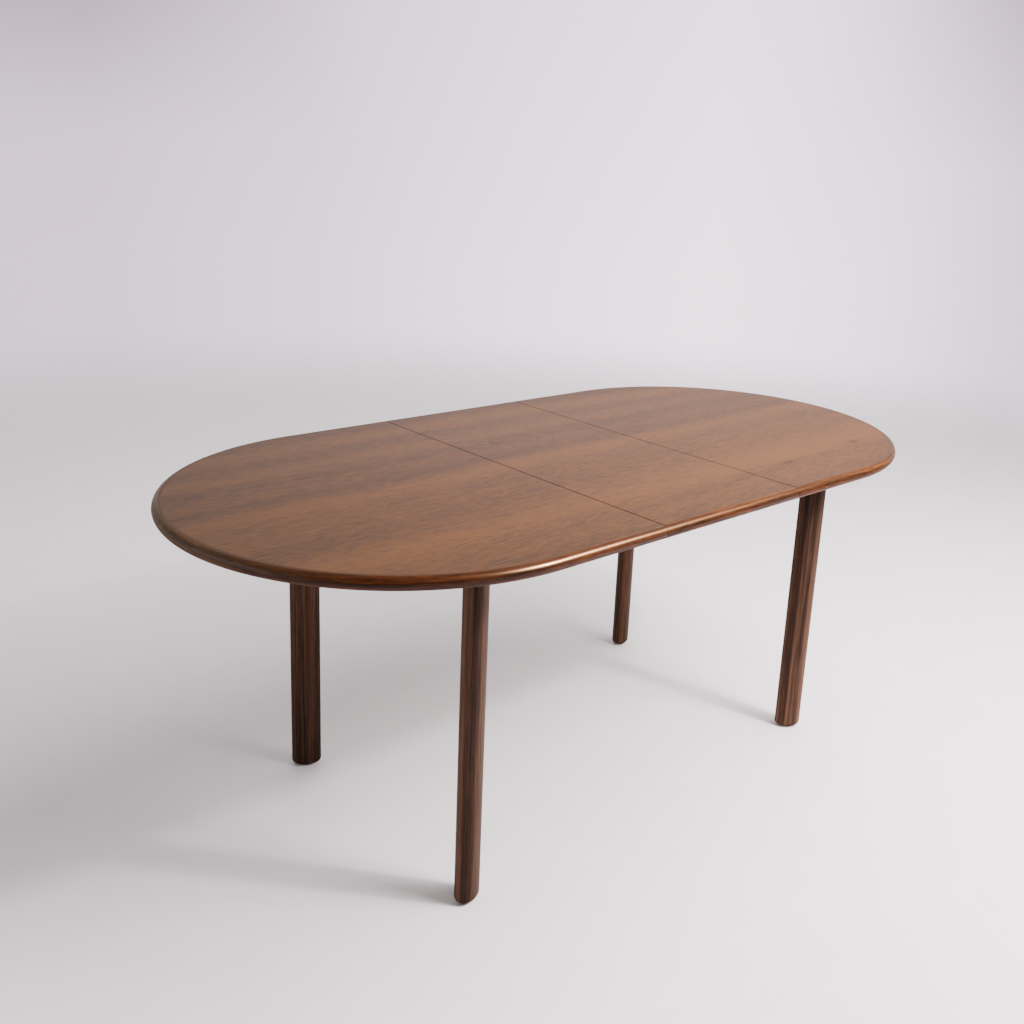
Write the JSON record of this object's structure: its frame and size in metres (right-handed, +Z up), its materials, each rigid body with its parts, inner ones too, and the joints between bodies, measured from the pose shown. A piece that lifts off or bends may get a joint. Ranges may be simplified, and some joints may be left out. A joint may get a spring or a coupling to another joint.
{
  "type": "extendable dining table",
  "caption": "Oval extendable dining table in walnut: sliding top halves and a lift-out centre leaf on an apron frame with straight oval legs.",
  "frame": {"origin": "on the floor under the centre of the table", "axes": "+Z up; +X along the table from its near end to its far end; +Y to its left side"},
  "size_m": [1.9, 0.95, 0.75],
  "materials": {
    "walnut_top": "satin lacquered walnut veneer",
    "walnut_edge": "satin lacquered solid walnut",
    "walnut_leg": "satin lacquered solid walnut, dark",
    "beech": "planed, unfinished",
    "steel": "zinc plated",
    "dark_steel": "black powder coat",
    "nylon": "moulded, matt"
  },
  "bodies": {
    "frame": {"leg_near_left": "walnut_leg", "leg_near_right": "walnut_leg", "leg_far_left": "walnut_leg", "leg_far_right": "walnut_leg", "foot_glide_near_left": "nylon", "foot_glide_near_right": "nylon", "foot_glide_far_left": "nylon", "foot_glide_far_right": "nylon", "left_side_apron": "walnut_leg", "right_side_apron": "walnut_leg", "near_end_apron": "walnut_leg", "far_end_apron": "walnut_leg", "near_cross_rail": "beech", "far_cross_rail": "beech", "corner_bracket_near_left": "dark_steel", "corner_bracket_near_right": "dark_steel", "corner_bracket_far_left": "dark_steel", "corner_bracket_far_right": "dark_steel", "hanger_bolt_near_left": "steel", "hanger_bolt_near_right": "steel", "hanger_bolt_far_left": "steel", "hanger_bolt_far_right": "steel", "bolt_nut_near_left": "steel", "bolt_nut_near_right": "steel", "bolt_nut_far_left": "steel", "bolt_nut_far_right": "steel", "left_slide_rail": "steel", "right_slide_rail": "steel", "rail_stop_near_left": "nylon", "rail_stop_near_right": "nylon", "rail_stop_far_left": "nylon", "rail_stop_far_right": "nylon", "gear_plate": "steel", "pinion_axle": "steel", "axle_clip": "steel"},
    "near_half": {"near_top_panel": "walnut_top", "near_top_lipping": "walnut_edge", "runner_near_left": "steel", "runner_near_right": "steel", "near_rack": "nylon", "near_rack_block": "beech"},
    "far_half": {"far_top_panel": "walnut_top", "far_top_lipping": "walnut_edge", "runner_far_left": "steel", "runner_far_right": "steel", "far_rack": "nylon", "far_rack_block": "beech"},
    "leaf": {"leaf_panel": "walnut_top", "leaf_lipping_left": "walnut_edge", "leaf_lipping_right": "walnut_edge", "leaf_batten_near": "beech", "leaf_batten_far": "beech"},
    "pinion": {"pinion": "nylon"}
  },
  "joints": [
    {"name": "near_half_slide", "type": "slide", "parent": "frame", "child": "near_half", "axis": [-1, 0, 0], "range_m": [0, 0.03]},
    {"name": "far_half_slide", "type": "slide", "parent": "frame", "child": "far_half", "axis": [1, 0, 0], "range_m": [0, 0.03]},
    {"name": "pinion_spin", "type": "hinge", "parent": "frame", "child": "pinion", "pos_m": [0, 0, 0.69], "axis": [0, 0, 1], "range_deg": [0, 65]},
    {"name": "leaf_lift", "type": "slide", "parent": "frame", "child": "leaf", "axis": [0, 0, 1], "range_m": [0, 0.35]}
  ],
  "couplings": [
    {"joint": "far_half_slide", "follows": "near_half_slide", "ratio": 1},
    {"joint": "pinion_spin", "follows": "near_half_slide", "rad_per_m": 37.037}
  ]
}
